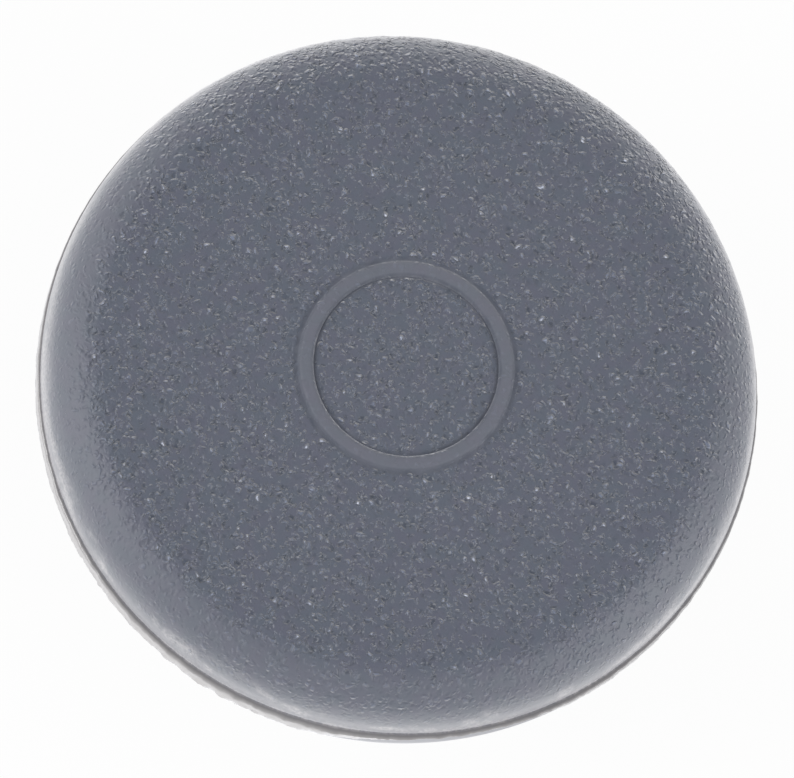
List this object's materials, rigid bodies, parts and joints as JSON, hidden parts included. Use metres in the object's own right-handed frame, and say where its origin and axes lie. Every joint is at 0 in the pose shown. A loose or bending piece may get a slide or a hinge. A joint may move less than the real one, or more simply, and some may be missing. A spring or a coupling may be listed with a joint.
{
  "type": "rubber stopper",
  "caption": "Round grey rubber vial stopper: a thick flange with a rounded upper edge, a trimmed rim and a small raised target ring, over a hollow sealing plug.",
  "frame": {"origin": "centre of the plug's open end, on the surface that the stopper stands on with its flange up", "axes": "+Z along the stopper's own axis, from the open end of the plug to the flange's top face; X and Y are free, because the form is a body of revolution"},
  "size_m": [0.019, 0.019, 0.0089],
  "materials": {
    "rubber": "matt, finely pebbled on the top face, smooth elsewhere"
  },
  "bodies": {
    "root": {"stopper": "rubber"}
  },
  "joints": []
}
